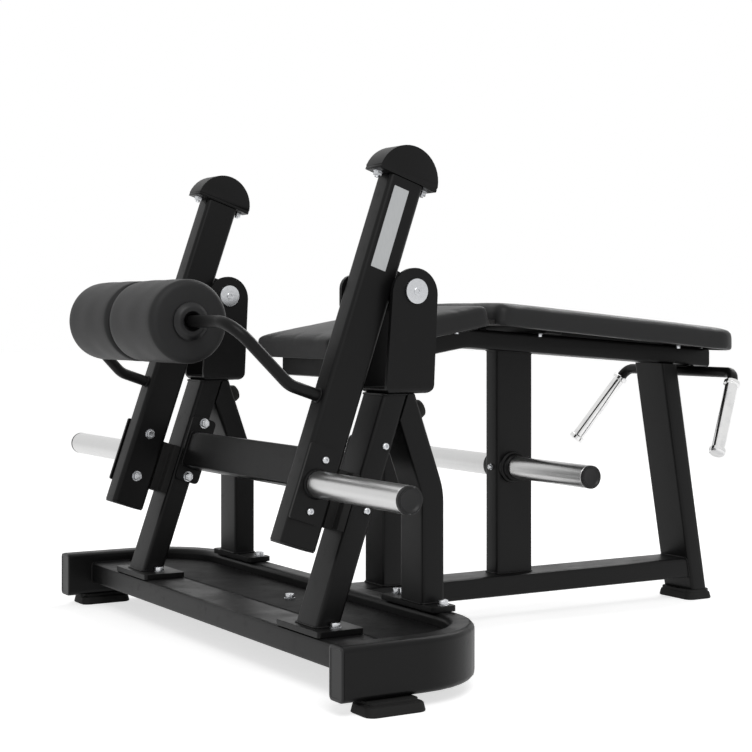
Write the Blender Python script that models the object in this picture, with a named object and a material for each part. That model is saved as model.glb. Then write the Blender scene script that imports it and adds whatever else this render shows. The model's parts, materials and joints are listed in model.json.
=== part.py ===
"""Plate-loaded lying hamstring (prone leg curl) machine, as separate pieces.

Metres, +Z up. Inside this file a place is given along X from the open ends of
the base hoop towards the head end of the bench, along Y from the machine's
middle plane, and along Z from the floor. An empty then carries everything so
that the world origin lies on the floor under the middle of the whole machine.
"""
import math

import bmesh
import bpy
from mathutils import Matrix, Vector

# Fits
GAP = 0.0003            # air between pieces that touch
RUNNING = 0.0003        # radial air in a bearing, more than a facet's sagitta

# Base
FOOT_H = 0.024
FOOT_END = 1.370        # rearmost point of the machine, on the rear foot
HOOP_W = 0.050          # bent tube, thin side horizontal
HOOP_H = 0.100
HOOP_FRONT = -0.038
HOOP_REAR = 0.325
HOOP_HALF = 0.686
HOOP_R = 0.170          # centre line of the two rear corners
BEAM_FRONT = 0.018
BEAM_W = 0.100
BEAM_H = 0.048
DECK_T = 0.004
DECK_Z = 0.100          # top of the front beam and of the deck
FLANGE_T = 0.012
EDGE_R = 0.008          # corner radius of the rectangular tubes
REAR_FLANGE = (0.292, 0.490)

# Side frames
SIDE_Y = 0.410          # middle plane of each leg pair, lever and bracket
LEG_W = 0.085
LEG_D = 0.050
LEAN = math.radians(19.0)
LEG_FOOT_X = 0.062      # centre line of a front leg at its flange
REAR_LEG_X = 0.296
REAR_BEND_Z = 0.352
REAR_LEAN = math.radians(19.4)
BRACKET_Z = 0.545       # underside of the pivot bracket
BRACKET_W = 0.104
BRACKET_T = 0.009
EAR_R = 0.051
EAR_X = 0.248
EAR_Z = 0.736
PIVOT = Vector((0.249, 0.0, 0.742))
SHAFT_R = 0.0125
WASHER_R = 0.0245
WASHER_T = 0.006
CROSS_TUBE = (0.165, 0.383)
CROSS_H = 0.082
CROSS_D = 0.050
CROSS_PLATE_T = 0.008

# Lever
ARM_D = 0.078
ARM_W = 0.055
ARM_X0 = 0.012          # centre line of the lever tube at height ARM_Z0
ARM_Z0 = 0.276
ARM_LOW = 0.264
ARM_HIGH = 0.957
WEIGHT_R = 0.068
WEIGHT_W = 0.060
HUB_R = 0.032
CHEEK_T = 0.009         # side plate of the hub, along the inner face of the lever
CHEEK_FRONT = 0.130
CHEEK_LOW = 0.704
CHEEK_HIGH = 0.776
HUB_W = 0.072
HORN = Vector((0.042, 0.0, 0.380))
HORN_R = 0.0252         # plates have a 50 mm bore class
HORN_TIP = 0.773
HORN_PLATE_T = 0.006
HORN_BOSS = 0.005
CAP_T = 0.007

# Roller
ROLLER = Vector((-0.116, 0.0, 0.684))
ROLLER_R = 0.083
ROLLER_HALF = 0.223
ROLLER_SPLIT = 0.006
ROD_R = 0.012
ROD_TURN = 0.400        # where the bar leaves the roller axis
ROD_STUB = 0.065
ROD_BEND = 0.055
CORE_R = 0.020
CORE_FLANGE_R = 0.037
CORE_FLANGE_T = 0.013

# Bench
LOWER_W = 0.098
LOWER_BOTTOM = 0.054
LOWER_TOP = 0.102
POST_THIN = 0.050
MID_POST = (0.745, 0.845)
CENTRE_POST = (0.430, 0.480)
CENTRE_POST_W = 0.085
REAR_POST_W = 0.108
REAR_POST_D = 0.046
REAR_POST_TOP = (1.212, 0.581)
REAR_POST_SLOPE = 0.170
PEAK_X = 0.645          # where the bench bends
BENCH_FRONT = 0.285
BENCH_END = 1.369
BENCH_W = 0.090
BENCH_D = 0.045
BENCH_PEAK_Z = 0.6455   # centre line of the bench tube at its bend
BENCH_BEND_R = 0.150
FRONT_SLOPE = 0.165
REAR_SLOPE = 0.074
HEAD_TUBE = (0.285, 0.589, 0.050, 0.110)    # place, height, size and half width
BOARD_T = 0.015         # plywood let into the underside of a pad
BOARD_INSET = 0.022
PAD_T = 0.0405
PAD_CROWN = 0.005
PAD_HALF = 0.174
HIP_PAD = (0.222, 0.632, 0.1755)        # front end, rear end, slope
CHEST_PAD = (0.645, 1.366, -0.091)
HIP_LOW = 0.6840        # underside of each pad, carried on to PEAK_X
CHEST_LOW = 0.6860
HIP_SKIRT = 0.008       # how far the sides of each pad hang below its board
CHEST_SKIRT = 0.011
PAD_DRAW = 0.004        # how far the long sides pull in between the corners

# Handles
HANDLE = Vector((1.309, 0.0, 0.5602))
HANDLE_HALF = 0.198
HANDLE_TIP = Vector((1.195, 0.265, 0.380))
HANDLE_R = 0.0125
HANDLE_BEND = 0.030
GRIP_R = 0.015
GRIP_COLLAR_R = 0.0192

# Plate storage
STORE_X = 0.785
STORE_Z = 0.347
STORE_TIP = 0.322
STORE_COLLAR_R = 0.036

MID_X = (ROLLER.x - ROLLER_R + FOOT_END) / 2


def start_scene():
    """Empty the file and return the empty that carries the machine."""
    for old in list(bpy.data.objects):
        bpy.data.objects.remove(old, do_unlink=True)
    carrier = bpy.data.objects.new("machine_origin", None)
    carrier.location = (-MID_X, 0.0, 0.0)
    bpy.context.collection.objects.link(carrier)
    return carrier


def paint(name, colour, roughness, metallic):
    """A plain Principled finish."""
    finish = bpy.data.materials.new(name)
    finish.use_nodes = True
    shader = finish.node_tree.nodes["Principled BSDF"]
    shader.inputs["Base Color"].default_value = (*colour, 1.0)
    shader.inputs["Roughness"].default_value = roughness
    shader.inputs["Metallic"].default_value = metallic
    return finish


CARRIER = start_scene()
BLACK_STEEL = paint("black_powder_coat", (0.022, 0.022, 0.023), 0.55, 0.0)
BARE_STEEL = paint("bright_steel", (0.62, 0.62, 0.61), 0.28, 1.0)
CHROME = paint("chrome", (0.80, 0.80, 0.80), 0.08, 1.0)
RUBBER = paint("black_rubber", (0.018, 0.018, 0.018), 0.75, 0.0)
PLASTIC = paint("black_plastic", (0.020, 0.020, 0.020), 0.45, 0.0)
VINYL = paint("black_vinyl", (0.030, 0.030, 0.031), 0.50, 0.0)
FOAM = paint("black_foam", (0.035, 0.035, 0.036), 0.60, 0.0)
BOARD = paint("pad_board", (0.025, 0.024, 0.023), 0.80, 0.0)


def place(bm, name, finish, turn=None, origin=None, smooth=True):
    """Turn a bmesh into a named, painted object with its origin where asked."""
    bmesh.ops.remove_doubles(bm, verts=bm.verts, dist=1e-6)
    bmesh.ops.recalc_face_normals(bm, faces=bm.faces)
    mesh = bpy.data.meshes.new(name)
    if origin is not None:
        bmesh.ops.translate(bm, verts=bm.verts, vec=-Vector(origin))
    bm.to_mesh(mesh)
    bm.free()
    mesh.materials.append(finish)
    if smooth:
        mesh.shade_smooth()
        mesh.set_sharp_from_angle(angle=math.radians(38))
    thing = bpy.data.objects.new(name, mesh)
    thing.parent = CARRIER
    if origin is not None:
        thing.location = origin
    if turn is not None:
        thing.rotation_euler = turn
    bpy.context.collection.objects.link(thing)
    return thing


def arc(centre, radius, start, end, steps):
    """Points on an arc in a plane, both ends included, angles in degrees."""
    points = []
    for step in range(steps + 1):
        angle = math.radians(start + (end - start) * step / steps)
        points.append((centre[0] + radius * math.cos(angle),
                       centre[1] + radius * math.sin(angle)))
    return points


def rounded(points, radius, steps=3):
    """Round every corner of a closed outline. radius is one value or one each."""
    count = len(points)
    radii = radius if isinstance(radius, (list, tuple)) else [radius] * count
    outline = []
    for index, corner in enumerate(points):
        here = Vector(corner)
        back = (Vector(points[index - 1]) - here).normalized()
        ahead = (Vector(points[(index + 1) % count]) - here).normalized()
        if radii[index] <= 0.0:
            outline.append(tuple(here))
            continue
        half = back.angle(ahead) / 2
        reach = radii[index] / math.tan(half)
        middle = here + (back + ahead).normalized() * radii[index] / math.sin(half)
        first = here + back * reach - middle
        last = here + ahead * reach - middle
        sweep = first.angle_signed(last)
        for step in range(steps + 1):
            turned = first.copy()
            turned.rotate(Matrix.Rotation(-sweep * step / steps, 2))
            outline.append(tuple(middle + turned))
    return outline


def box_section(width, height, radius=EDGE_R, steps=2):
    """Rounded rectangle about the origin."""
    w, h = width / 2, height / 2
    return rounded([(-w, -h), (w, -h), (w, h), (-w, h)], radius, steps)


def circle_section(radius, sides=16):
    return arc((0.0, 0.0), radius, 0.0, 360.0 * (sides - 1) / sides, sides - 1)


def loft(rings):
    """A closed body through rings of points, with a flat cap on each end."""
    bm = bmesh.new()
    loops = [[bm.verts.new(point) for point in ring] for ring in rings]
    count = len(loops[0])
    for low, high in zip(loops, loops[1:]):
        for index in range(count):
            following = (index + 1) % count
            bm.faces.new((low[index], low[following], high[following], high[index]))
    bm.faces.new(loops[0][::-1])
    bm.faces.new(loops[-1])
    return bm


def sweep(section, path, side, start_cut=None, end_cut=None):
    """Carry a section along a flat path; side is the direction square to its plane."""
    path = [Vector(point) for point in path]
    side = Vector(side).normalized()
    rings = []
    for index, point in enumerate(path):
        into = (point - path[index - 1]).normalized() if index else None
        out = (path[index + 1] - point).normalized() if index + 1 < len(path) else None
        along = into or out
        face = along if into is None or out is None else (into + out).normalized()
        if index == 0 and start_cut is not None:
            face = Vector(start_cut)
        if out is None and end_cut is not None:
            face = Vector(end_cut)
        up = side.cross(along)
        ring = []
        for across, height in section:
            offset = side * across + up * height
            offset -= along * (offset.dot(face) / along.dot(face))
            ring.append(point + offset)
        rings.append(ring)
    return loft(rings)


def round_path(points, radius, steps=5):
    """Replace each inner corner of a path by an arc of the given radius."""
    points = [Vector(point) for point in points]
    path = [points[0]]
    for before, here, after in zip(points, points[1:], points[2:]):
        back = (before - here).normalized()
        ahead = (after - here).normalized()
        half = back.angle(ahead) / 2
        reach = radius / math.tan(half)
        middle = here + (back + ahead).normalized() * radius / math.sin(half)
        first = here + back * reach - middle
        last = here + ahead * reach - middle
        axis = first.cross(last).normalized()
        total = first.angle(last)
        for step in range(steps + 1):
            path.append(middle + Matrix.Rotation(total * step / steps, 3, axis) @ first)
    path.append(points[-1])
    return path


def pipe(path, radius, sides=14):
    """A round rod along a path in space, its rings carried without twist."""
    rings = []
    normal = None
    for index, point in enumerate(path):
        into = (point - path[index - 1]).normalized() if index else None
        out = (path[index + 1] - point).normalized() if index + 1 < len(path) else None
        along = into or out
        face = along if into is None or out is None else (into + out).normalized()
        if normal is None:
            normal = face.orthogonal().normalized()
        normal = (normal - face * normal.dot(face)).normalized()
        binormal = face.cross(normal)
        rings.append([point + normal * a + binormal * b
                      for a, b in circle_section(radius, sides)])
    return loft(rings)


def prism(outline, low, high, axis="Y"):
    """Extrude a closed outline. For Y the outline is (x, z), for Z it is (x, y)."""
    def point(a, b, c):
        return (a, c, b) if axis == "Y" else (a, b, c)
    return loft([[point(a, b, level) for a, b in outline] for level in (low, high)])


def lathe(profile, centre, axis="Y", sides=32, sign=1):
    """Turn (radius, distance) pairs about an axis; the profile is closed."""
    bm = bmesh.new()
    loops = []
    for side in range(sides):
        angle = 2 * math.pi * side / sides
        ring = []
        for radius, along in profile:
            a, b = radius * math.cos(angle), radius * math.sin(angle)
            offset = (a, sign * along, b) if axis == "Y" else (a, b, sign * along)
            ring.append(bm.verts.new(Vector(centre) + Vector(offset)))
        loops.append(ring)
    count = len(profile)
    for side in range(sides):
        one, two = loops[side], loops[(side + 1) % sides]
        for index in range(count):
            following = (index + 1) % count
            corners = [one[index], one[following], two[following], two[index]]
            bm.faces.new(corners)
    bmesh.ops.dissolve_degenerate(bm, dist=1e-7, edges=bm.edges)
    return bm


def turned(profile, centre, axis="Y", sides=32, sign=1):
    """A solid of revolution from an open profile that starts and ends on its axis."""
    rings = []
    for radius, along in profile:
        ring = []
        for side in range(sides):
            angle = 2 * math.pi * side / sides
            a, b = radius * math.cos(angle), radius * math.sin(angle)
            offset = (a, sign * along, b) if axis == "Y" else (a, b, sign * along)
            ring.append(Vector(centre) + Vector(offset))
        rings.append(ring)
    return loft(rings)


def cut(thing, cutter, operation="DIFFERENCE"):
    """Boolean one object with another and keep the cutter as a hidden guide."""
    cutter.hide_render = True
    cutter.display_type = "WIRE"
    step = thing.modifiers.new(cutter.name, "BOOLEAN")
    step.operation = operation
    step.solver = "EXACT"
    step.object = cutter
    return thing


def leaning(x, z, along, across):
    """A point in a side frame's XZ plane, measured along and across its lean."""
    return (x + along * math.sin(LEAN) + across * math.cos(LEAN),
            z + along * math.cos(LEAN) - across * math.sin(LEAN))


def leaning_plate(x, z, length, width, radius):
    """Rounded plate outline in XZ that follows the lean of the legs."""
    corners = [leaning(x, z, a * length / 2, b * width / 2)
               for a, b in ((-1, -1), (-1, 1), (1, 1), (1, -1))]
    return rounded(corners, radius, 4)


def sides():
    """The two halves of the machine: name and sign along Y."""
    return (("left", 1), ("right", -1))


def leg_x(z):
    """Centre line of a front leg at a height."""
    return LEG_FOOT_X + (z - DECK_Z - FLANGE_T) * math.tan(LEAN)


def leg_rear_x(z):
    return leg_x(z) + LEG_D / 2 / math.cos(LEAN)


def arm_x(z):
    """Centre line of a lever tube at a height."""
    return ARM_X0 + (z - ARM_Z0) * math.tan(LEAN)


def beam_slope(x):
    return FRONT_SLOPE if x < PEAK_X else -REAR_SLOPE


def beam_mid(x):
    """Centre line of the bench tube."""
    return BENCH_PEAK_Z + beam_slope(x) * (x - PEAK_X)


def beam_top(x):
    return beam_mid(x) + BENCH_D / 2 * math.hypot(1.0, beam_slope(x))


def beam_low(x):
    return beam_mid(x) - BENCH_D / 2 * math.hypot(1.0, beam_slope(x))


def rear_post_x(z):
    """Front face of the sloping rear post at a height."""
    return REAR_POST_TOP[0] + (REAR_POST_TOP[1] - z) * REAR_POST_SLOPE


def build_base():
    half = HOOP_HALF - HOOP_W / 2
    rear = HOOP_REAR - HOOP_W / 2
    level = FOOT_H + HOOP_H / 2
    corner = arc((rear - HOOP_R, -half + HOOP_R), HOOP_R, -90.0, 0.0, 9)
    near = [(HOOP_FRONT, -half)] + corner
    far = [(x, -y) for x, y in reversed(near)]
    path = [(x, y, level) for x, y in near + far]
    place(sweep(box_section(HOOP_H, HOOP_W, 0.012, 3), path, (0, 0, 1)),
          "base_hoop", BLACK_STEEL)

    inner = HOOP_HALF - HOOP_W - GAP
    centre = BEAM_FRONT + BEAM_W / 2
    beam = [(centre, -inner, DECK_Z - BEAM_H / 2), (centre, inner, DECK_Z - BEAM_H / 2)]
    place(sweep(box_section(BEAM_H, BEAM_W), beam, (0, 0, 1)), "front_beam", BLACK_STEEL)

    bend = HOOP_R - HOOP_W / 2 - GAP
    start = BEAM_FRONT + BEAM_W + GAP
    around = arc((rear - HOOP_R, -inner + bend), bend, -90.0, 0.0, 9)
    deck = [(start, -inner)] + around
    deck += [(x, -y) for x, y in reversed(deck)]
    place(prism(deck, DECK_Z - DECK_T, DECK_Z, "Z"), "deck_plate", BLACK_STEEL, smooth=False)


def build_foot(name, x, y, length, width, neck):
    """Rubber foot: a flared tray with a narrower block on it under the tube."""
    levels = ((0.0, 0.0015), (0.0015, 0.0), (0.0150, 0.003), (0.0170, 0.005),
              (0.0175, neck), (FOOT_H - GAP, neck))
    rings = []
    for height, inset in levels:
        outline = box_section(length - 2 * inset, width - 2 * inset, 0.018 - inset / 2, 4)
        rings.append([(x + a, y + b, height) for a, b in outline])
    place(loft(rings), name, RUBBER)


def build_legs(side, sign):
    y = sign * SIDE_Y
    base = DECK_Z + FLANGE_T
    leg = [(leg_x(base + GAP), y, base + GAP), (leg_x(BRACKET_Z - GAP), y, BRACKET_Z - GAP)]
    place(sweep(box_section(LEG_W, LEG_D), leg, (0, 1, 0), (0, 0, 1), (0, 0, 1)),
          f"front_leg_{side}", BLACK_STEEL)

    plate = rounded([(0.030, y - 0.065), (0.130, y - 0.065), (0.130, y + 0.065),
                     (0.030, y + 0.065)], 0.008, 3)
    place(prism(plate, DECK_Z + GAP, base, "Z"), f"front_flange_{side}", BLACK_STEEL)

    hoop_top = FOOT_H + HOOP_H
    seat = HOOP_REAR - HOOP_W / 2
    near, far = sign * REAR_FLANGE[0], sign * REAR_FLANGE[1]
    plate = rounded([(seat - 0.030, near), (seat + 0.025, near),
                     (seat + 0.025, far), (seat - 0.030, far)], 0.008, 3)
    place(prism(plate, hoop_top + GAP, hoop_top + FLANGE_T, "Z"),
          f"rear_flange_{side}", BLACK_STEEL)

    low = hoop_top + FLANGE_T + GAP
    reach = 0.240
    top = (REAR_LEG_X - reach * math.sin(REAR_LEAN), y,
           REAR_BEND_Z + reach * math.cos(REAR_LEAN))
    path = round_path([(REAR_LEG_X, y, low), (REAR_LEG_X, y, REAR_BEND_Z), top], 0.12, 4)
    leg = place(sweep(box_section(LEG_W, LEG_D + 0.002), path, (0, 1, 0)),
                f"rear_leg_{side}", BLACK_STEEL)
    far_x = leg_rear_x(BRACKET_Z) + 0.15
    outline = [(leg_rear_x(0.40) + GAP, 0.40),
               (leg_rear_x(BRACKET_Z) + GAP, BRACKET_Z - GAP),
               (far_x, BRACKET_Z - GAP), (far_x, 0.70), (-0.10, 0.70), (-0.10, 0.40)]
    cutter = place(prism(outline, y - 0.08, y + 0.08), f"rear_leg_trim_{side}",
                   BLACK_STEEL, smooth=False)
    cut(leg, cutter)

    middle = (BRACKET_Z + REAR_BEND_Z) / 2 + 0.058
    face_x = REAR_LEG_X + (LEG_D + 0.002) / 2 / math.cos(REAR_LEAN)
    face_x -= (middle - REAR_BEND_Z) * math.tan(REAR_LEAN)
    dome = [(0.014, GAP), (0.020, 0.003), (0.020, 0.016), (0.017, 0.024), (0.009, 0.028)]
    bm = turned(dome, (0, 0, 0), "Z", 20)
    turn = (0.0, math.pi / 2 - REAR_LEAN, 0.0)
    place(bm, f"leg_bumper_{side}", RUBBER, turn=turn).location = (face_x, y, middle)


def build_bracket(side, sign):
    """Folded U bracket: a channel and an ear outline, kept where both are."""
    y = sign * SIDE_Y
    w, t = BRACKET_W / 2, BRACKET_T
    top = EAR_Z + EAR_R + 0.02
    channel = rounded([(-w, BRACKET_Z), (w, BRACKET_Z), (w, top), (w - t, top),
                       (w - t, BRACKET_Z + t), (-w + t, BRACKET_Z + t),
                       (-w + t, top), (-w, top)],
                      [0.012, 0.012, 0, 0, 0.004, 0.004, 0, 0], 4)
    low, high = EAR_X - 0.08, EAR_X + 0.08
    bm = loft([[(x, y + a, b) for a, b in channel] for x in (low, high)])
    bracket = place(bm, f"pivot_bracket_{side}", BLACK_STEEL)
    foot = rounded([(EAR_X + EAR_R, EAR_Z), (EAR_X - EAR_R, EAR_Z),
                    (EAR_X - EAR_R - 0.015, BRACKET_Z - 0.001),
                    (EAR_X + EAR_R - 0.009, BRACKET_Z - 0.001)], [0, 0, 0.018, 0.018], 5)
    crown = arc((EAR_X, EAR_Z), EAR_R, 180.0, 0.0, 18)[1:-1]
    ear = [foot[0]] + crown[::-1] + foot[1:]
    shape = place(prism(ear, y - 0.07, y + 0.07), f"ear_outline_{side}", BLACK_STEEL)
    cut(bracket, shape, "INTERSECT")
    hole = [(SHAFT_R + GAP, -0.07), (SHAFT_R + GAP, 0.07)]
    drill = place(turned(hole, (PIVOT.x, y, PIVOT.z)), f"ear_drill_{side}", BLACK_STEEL)
    cut(bracket, drill)

    reach = w + GAP
    shaft = [(0.010, -reach - WASHER_T), (WASHER_R, -reach - WASHER_T + 0.001),
             (WASHER_R, -reach), (SHAFT_R, -reach), (SHAFT_R, reach), (WASHER_R, reach),
             (WASHER_R, reach + WASHER_T - 0.001), (0.010, reach + WASHER_T)]
    place(turned(shaft, (PIVOT.x, y, PIVOT.z)), f"pivot_shaft_{side}", BARE_STEEL)


def build_cross_tube():
    x, z = CROSS_TUBE
    inner = SIDE_Y - LEG_W / 2
    end = inner - CROSS_PLATE_T - 2 * GAP
    outline = [leaning(x, z, a, b) for a, b in box_section(CROSS_H, CROSS_D)]
    place(prism(outline, -end, end), "cross_tube", BLACK_STEEL)
    for side, sign in sides():
        plate = leaning_plate(x, z + 0.002, 0.152, 0.060, 0.010)
        low, high = sorted((sign * (inner - CROSS_PLATE_T - GAP), sign * (inner - GAP)))
        place(prism(plate, low, high), f"cross_plate_{side}", BLACK_STEEL)


def build_stop(side, sign):
    """Rubber stop on a front leg: a wide back and a nose that the lever rests on."""
    y = sign * SIDE_Y
    z = 0.340
    face = leg_x(z) - LEG_D / 2 / math.cos(LEAN)
    back = arm_x(z) + ARM_D / 2 / math.cos(LEAN)
    deep = (face - back) * math.cos(LEAN) - 2 * GAP
    base, nose, flare = 0.0400, 0.0225, 0.016
    outline = rounded([(-base, 0.0), (base, 0.0), (base, flare), (nose, flare),
                       (nose, deep), (-nose, deep), (-nose, flare), (-base, flare)],
                      [0, 0, 0.004, 0.003, 0.004, 0.004, 0.003, 0.004], 2)
    rings = []
    for along in (-0.056, 0.056):
        ring = []
        for across, out in outline:
            px, pz = leaning(face, z, along, -out - GAP)
            ring.append((px, y + across, pz))
        rings.append(ring)
    place(loft(rings), f"stop_pad_{side}", RUBBER)


def build_lever(side, sign):
    y = sign * SIDE_Y
    path = [(arm_x(ARM_LOW), y, ARM_LOW), (arm_x(ARM_HIGH), y, ARM_HIGH)]
    arm = place(sweep(box_section(ARM_W, ARM_D, 0.010, 3), path, (0, 1, 0)),
                f"lever_arm_{side}", BLACK_STEEL)

    centre = leaning(arm_x(ARM_HIGH), ARM_HIGH, GAP, 0.0)
    start = -math.degrees(LEAN)
    outline = arc(centre, WEIGHT_R, start, start + 180.0, 22)
    bm = prism(outline, y - WEIGHT_W / 2, y + WEIGHT_W / 2)
    rim = [edge for edge in bm.edges if abs(edge.verts[0].co.y - edge.verts[1].co.y) < 1e-6]
    bmesh.ops.bevel(bm, geom=rim, offset=0.003, segments=2, affect="EDGES", profile=0.5)
    place(bm, f"counterweight_{side}", BLACK_STEEL)

    reach = (PIVOT.x - arm_x(PIVOT.z)) * math.cos(LEAN) - ARM_D / 2 - GAP
    flat = [leaning(PIVOT.x, PIVOT.z, along, -reach) for along in (-HUB_R, 0.5 * HUB_R)]
    round_end = [leaning(PIVOT.x, PIVOT.z, HUB_R * math.sin(t), HUB_R * math.cos(t))
                 for t in (math.radians(90 - 180 * k / 16) for k in range(17))]
    outline = [flat[0], flat[1]] + round_end
    hub = place(prism(outline, y - HUB_W / 2, y + HUB_W / 2), f"pivot_hub_{side}", BLACK_STEEL,
                origin=(PIVOT.x, y, PIVOT.z))
    inner = SIDE_Y - ARM_W / 2 - GAP
    low, high = sorted((sign * inner, sign * (inner - CHEEK_T)))
    rear = PIVOT.x + HUB_R - 0.001
    cheek = rounded([(CHEEK_FRONT, CHEEK_LOW), (rear, CHEEK_LOW), (rear, CHEEK_HIGH - 0.014),
                     (CHEEK_FRONT, CHEEK_HIGH)], [0.012, 0.030, 0.030, 0.026], 5)
    cut(hub, place(prism(cheek, low, high), f"cheek_outline_{side}", BLACK_STEEL), "UNION")
    bore = [(SHAFT_R + RUNNING, -HUB_W), (SHAFT_R + RUNNING, HUB_W)]
    drill = place(turned(bore, (PIVOT.x, y, PIVOT.z)), f"hub_drill_{side}", BLACK_STEEL)
    cut(hub, drill)

    face = SIDE_Y + ARM_W / 2 + GAP
    plate = leaning_plate(HORN.x - 0.004, HORN.z, 0.146, 0.064, 0.004)
    low, high = sorted((sign * face, sign * (face + HORN_PLATE_T)))
    plate = place(prism(plate, low, high), f"horn_plate_{side}", BLACK_STEEL)
    top = face + HORN_PLATE_T
    boss = [(0.029, top - 0.004), (0.029, top + 0.002), (0.0265, top + HORN_BOSS)]
    cut(plate, place(turned(boss, HORN, sign=sign), f"horn_boss_{side}", BLACK_STEEL), "UNION")

    base = top + HORN_BOSS + GAP
    tip = HORN_TIP - CAP_T
    bar = [(HORN_R - 0.001, base), (HORN_R, base + 0.001), (HORN_R, tip - 0.001),
           (HORN_R - 0.001, tip)]
    place(turned(bar, HORN, sign=sign), f"weight_horn_{side}", BARE_STEEL)
    cap = [(HORN_R + 0.0012, tip + GAP), (HORN_R + 0.0012, HORN_TIP - 0.002),
           (HORN_R - 0.001, HORN_TIP)]
    place(turned(cap, HORN, sign=sign), f"horn_cap_{side}", PLASTIC)
    return arm


def build_roller():
    front = ARM_D / 2 + GAP
    z = 0.531
    stub = leaning(arm_x(z), z, 0.0, -front)
    bend = leaning(arm_x(z), z, 0.0, -front - ROD_STUB)
    half = [Vector((stub[0], SIDE_Y, stub[1])), Vector((bend[0], SIDE_Y, bend[1])),
            Vector((ROLLER.x, ROD_TURN, ROLLER.z))]
    mirror = [Vector((p.x, -p.y, p.z)) for p in reversed(half)]
    place(pipe(round_path(half + mirror, ROD_BEND, 6), ROD_R), "roller_bar", BLACK_STEEL)
    for side, sign in sides():
        bore = ROD_R + 2 * RUNNING
        end = ROLLER_HALF + GAP
        core = [(bore, ROLLER_SPLIT), (CORE_R, ROLLER_SPLIT), (CORE_R, end),
                (CORE_FLANGE_R, end), (CORE_FLANGE_R, end + 0.005),
                (CORE_FLANGE_R - 0.006, end + CORE_FLANGE_T - 0.002),
                (CORE_FLANGE_R - 0.012, end + CORE_FLANGE_T),
                (bore + 0.007, end + CORE_FLANGE_T), (bore, end + 0.004)]
        place(lathe(core, (0, 0, 0), sign=sign, sides=28), f"roller_core_{side}",
              PLASTIC).location = ROLLER
        soft = 0.016
        inner = CORE_R + GAP
        rim = arc((ROLLER_R - soft, ROLLER_HALF - soft), soft, 0.0, 90.0, 4)
        near = [(ROLLER_R - 0.005, ROLLER_SPLIT), (ROLLER_R, ROLLER_SPLIT + 0.006)]
        foam = [(inner, ROLLER_SPLIT)] + near + rim + [(inner, ROLLER_HALF)]
        place(lathe(foam, (0, 0, 0), sign=sign, sides=40), f"roller_pad_{side}",
              FOAM).location = ROLLER


def build_bench_frame():
    low, high = LOWER_BOTTOM, LOWER_TOP
    middle = (low + high) / 2
    start = HOOP_REAR + GAP
    end = rear_post_x(middle) - GAP
    slope = (1.0, 0.0, REAR_POST_SLOPE)
    path = [(start, 0.0, middle), (end, 0.0, middle)]
    place(sweep(box_section(LOWER_W, high - low), path, (0, 1, 0), None, slope),
          "lower_beam", BLACK_STEEL)

    foot = FOOT_H + GAP
    top = beam_low(rear_post_x(0.585) + REAR_POST_D / 2) - GAP
    centre = REAR_POST_D / 2 * math.hypot(1.0, REAR_POST_SLOPE)
    path = [(rear_post_x(foot) + centre, 0.0, foot), (rear_post_x(top) + centre, 0.0, top)]
    place(sweep(box_section(REAR_POST_W, REAR_POST_D), path, (0, 1, 0), (0, 0, 1),
                (REAR_SLOPE, 0.0, 1.0)), "rear_post", BLACK_STEEL)

    posts = {}
    for name, (x0, x1), width in (("mid_post", MID_POST, POST_THIN),
                                  ("centre_post", CENTRE_POST, CENTRE_POST_W)):
        x = (x0 + x1) / 2
        path = [(x, 0.0, high + GAP), (x, 0.0, beam_low(x) - GAP)]
        under = (-beam_slope(x), 0.0, 1.0)
        post = place(sweep(box_section(width, x1 - x0), path, (0, 1, 0), None, under),
                     name, BLACK_STEEL)
        posts[name] = post

    path = [(x, 0.0, beam_mid(x)) for x in (BENCH_FRONT, PEAK_X, BENCH_END)]
    path = round_path(path, BENCH_BEND_R, 3)
    upright = (1.0, 0.0, 0.0)
    beam = place(sweep(box_section(BENCH_W, BENCH_D), path, (0, 1, 0), upright, upright),
                 "bench_beam", BLACK_STEEL)
    x, z, size, half = HEAD_TUBE
    outline = [(x + a, z + b) for a, b in box_section(size, size)]
    head = place(prism(outline, -half, half), "head_tube_outline", BLACK_STEEL)
    cut(beam, head, "UNION")
    return posts["mid_post"]


def pad_low(pad, low, x):
    """Height of a pad's underside at a place along the bench."""
    return low + pad[2] * (x - PEAK_X)


def pad_frame(pad, low, thing):
    """Put a thing drawn with length on X and underside at zero on its pad line."""
    thing.location = (pad[0], 0.0, pad_low(pad, low, pad[0]))
    thing.rotation_euler = (0.0, -math.atan(pad[2]), 0.0)
    return thing


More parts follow.
